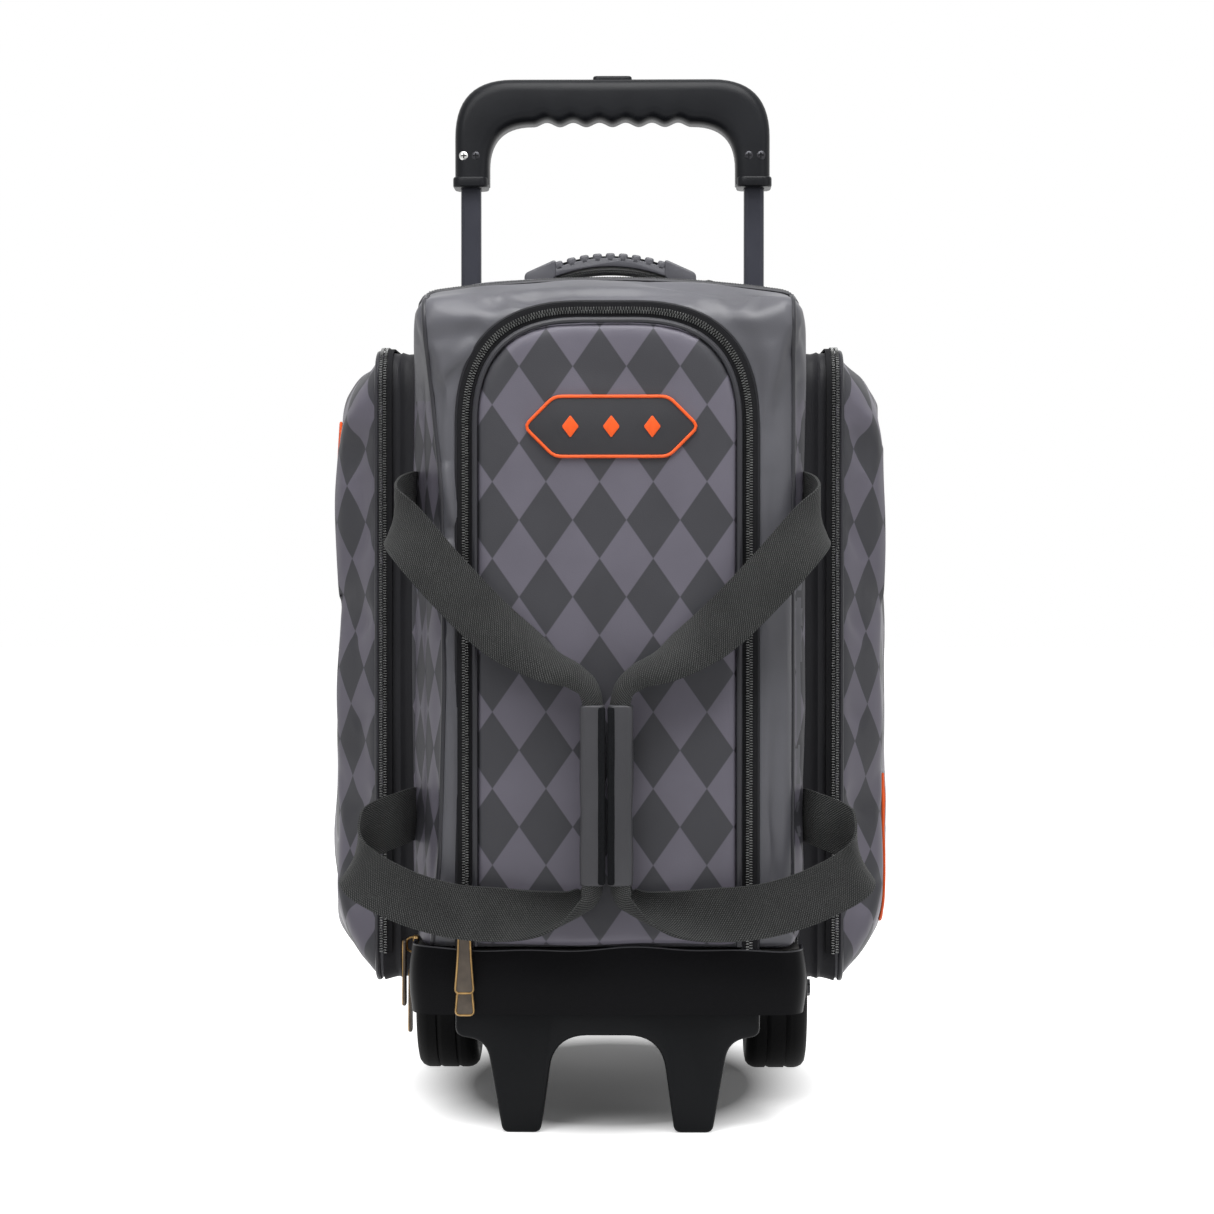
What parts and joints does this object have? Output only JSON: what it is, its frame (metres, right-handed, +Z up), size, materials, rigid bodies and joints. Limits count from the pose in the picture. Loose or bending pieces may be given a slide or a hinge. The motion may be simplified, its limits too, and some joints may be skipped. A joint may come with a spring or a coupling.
{
  "type": "rolling bowling bag",
  "caption": "Upright wheeled bag for bowling balls with a fold-down front, zipped side pockets, webbing handles and a telescoping trolley grip.",
  "frame": {"origin": "on the floor, at the middle of the whole bag's width and depth", "axes": "+X is the bag's right seen from the front, +Y is towards the back, where the wheels and the trolley are, +Z is up"},
  "size_m": [0.4134, 0.3878, 0.7927],
  "materials": {
    "coated_fabric": "coated polyester with a woven two-tone diamond check and a soft sheen",
    "black_fabric": "plain black woven polyester and zip tape",
    "webbing": "black woven polyester webbing",
    "sleeve_fabric": "grained black leatherette",
    "foam": "charcoal foam covered in brushed lining",
    "board": "stiff black base board",
    "moulded_black": "black moulded plastic with a fine texture",
    "grip_rubber": "grey-black moulded rubber",
    "badge_rubber": "raised orange rubber",
    "tube_metal": "black anodised aluminium",
    "bolt_steel": "plated steel",
    "zip_brass": "antiqued brass with dark recesses",
    "tyre": "smooth black polyurethane tread"
  },
  "bodies": {
    "bag": {"main_shell": "coated_fabric", "main_zip_shell_side": "black_fabric", "ball_cup_lower": "foam", "ball_cup_upper": "foam", "base_tray": "moulded_black", "base_board": "board", "front_feet": "moulded_black", "wheel_bracket_left": "moulded_black", "wheel_bracket_right": "moulded_black", "axle_bolt_left": "bolt_steel", "axle_bolt_right": "bolt_steel", "outer_tube_left": "tube_metal", "outer_tube_right": "tube_metal", "trolley_foot": "moulded_black", "back_cover": "black_fabric", "trolley_bezel": "moulded_black", "top_grip": "grip_rubber", "top_grip_strap": "webbing", "pocket_hoop_left": "black_fabric", "pocket_hoop_right": "black_fabric", "pocket_zip_left": "black_fabric", "pocket_zip_right": "black_fabric"},
    "front": {"front_panel": "coated_fabric", "front_skirt": "black_fabric", "front_pocket": "coated_fabric", "front_pocket_zip": "black_fabric", "front_badge": "badge_rubber", "main_zip_front_side": "black_fabric"},
    "trolley_mid": {"mid_tube_left": "tube_metal", "mid_tube_right": "tube_metal"},
    "trolley_upper": {"upper_tube_left": "tube_metal", "upper_tube_right": "tube_metal", "grip_front": "moulded_black", "grip_back": "moulded_black", "grip_screw_left": "bolt_steel", "grip_screw_right": "bolt_steel"},
    "release": {"release_button": "moulded_black", "release_yoke": "moulded_black"},
    "wheel_left": {"tyre_left": "tyre", "wheel_hub_left": "moulded_black", "wheel_bush_left": "bolt_steel"},
    "wheel_right": {"tyre_right": "tyre", "wheel_hub_right": "moulded_black", "wheel_bush_right": "bolt_steel"},
    "handle_left": {"handle_webbing_left": "webbing", "handle_sleeve_left": "sleeve_fabric"},
    "handle_right": {"handle_webbing_right": "webbing", "handle_sleeve_right": "sleeve_fabric"},
    "cover_left": {"pocket_cover_left": "coated_fabric", "pocket_badge_left": "badge_rubber"},
    "cover_right": {"pocket_cover_right": "coated_fabric", "pocket_badge_right": "badge_rubber"},
    "front_zip": {"front_slider_upper": "zip_brass"},
    "front_pull": {"front_pull_upper": "zip_brass"},
    "front_zip_lower": {"front_slider_lower": "zip_brass"},
    "main_zip": {"main_slider_upper": "zip_brass"},
    "main_pull": {"main_pull_upper": "zip_brass"},
    "main_zip_lower": {"main_slider_lower": "zip_brass"},
    "pocket_zip_left": {"pocket_slider_left": "zip_brass"},
    "pocket_zip_right": {"pocket_slider_right": "zip_brass"}
  },
  "joints": [
    {"name": "trolley_mid_slide", "type": "slide", "parent": "bag", "child": "trolley_mid", "axis": [0, 0, 1], "range_m": [0, 0.16]},
    {"name": "trolley_upper_slide", "type": "slide", "parent": "trolley_mid", "child": "trolley_upper", "axis": [0, 0, 1], "range_m": [-0.09, 0.07]},
    {"name": "release_press", "type": "slide", "parent": "trolley_upper", "child": "release", "axis": [0, 0, -1], "range_m": [0, 0.004], "stiffness_N_per_m": 600, "springref_m": -0.003},
    {"name": "wheel_left_spin", "type": "hinge", "parent": "bag", "child": "wheel_left", "pos_m": [-0.1296, 0.13036, 0.0635], "axis": [1, 0, 0], "continuous": true},
    {"name": "wheel_right_spin", "type": "hinge", "parent": "bag", "child": "wheel_right", "pos_m": [0.1296, 0.13036, 0.0635], "axis": [1, 0, 0], "continuous": true},
    {"name": "front_fold", "type": "hinge", "parent": "bag", "child": "front", "pos_m": [0, -0.14564, 0.073], "axis": [1, 0, 0], "range_deg": [0, 90]},
    {"name": "handle_left_swing", "type": "hinge", "parent": "front", "child": "handle_left", "pos_m": [-0.1375, -0.09114, 0.33], "axis": [0, 0, 1], "range_deg": [-75, 0]},
    {"name": "cover_left_fold", "type": "hinge", "parent": "bag", "child": "cover_left", "pos_m": [-0.166, 0.02236, 0.0948], "axis": [0, -1, 0], "range_deg": [0, 80]},
    {"name": "pocket_zip_left_slide", "type": "slide", "parent": "bag", "child": "pocket_zip_left", "axis": [0, 0, 1], "range_m": [0, 0.3]},
    {"name": "handle_right_swing", "type": "hinge", "parent": "front", "child": "handle_right", "pos_m": [0.1375, -0.09114, 0.33], "axis": [0, 0, -1], "range_deg": [-75, 0]},
    {"name": "cover_right_fold", "type": "hinge", "parent": "bag", "child": "cover_right", "pos_m": [0.166, 0.02236, 0.0948], "axis": [0, 1, 0], "range_deg": [0, 80]},
    {"name": "pocket_zip_right_slide", "type": "slide", "parent": "bag", "child": "pocket_zip_right", "axis": [0, 0, 1], "range_m": [0, 0.3]},
    {"name": "front_zip_slide", "type": "slide", "parent": "front", "child": "front_zip", "axis": [0, 0, 1], "range_m": [0, 0.35]},
    {"name": "front_zip_lower_slide", "type": "slide", "parent": "front", "child": "front_zip_lower", "axis": [0, 0, 1], "range_m": [0, 0.0025]},
    {"name": "front_pull_swing", "type": "hinge", "parent": "front_zip", "child": "front_pull", "pos_m": [-0.1, -0.16329, 0.1515], "axis": [-1, 0, 0], "range_deg": [0, 50]},
    {"name": "main_zip_slide", "type": "slide", "parent": "bag", "child": "main_zip", "axis": [0, 0, 1], "range_m": [0, 0.44]},
    {"name": "main_zip_lower_slide", "type": "slide", "parent": "bag", "child": "main_zip_lower", "axis": [0, 0, 1], "range_m": [0, 0.005]},
    {"name": "main_pull_swing", "type": "hinge", "parent": "main_zip", "child": "main_pull", "pos_m": [-0.14945, -0.07764, 0.1305], "axis": [0, 1, 0], "range_deg": [0, 80]}
  ]
}
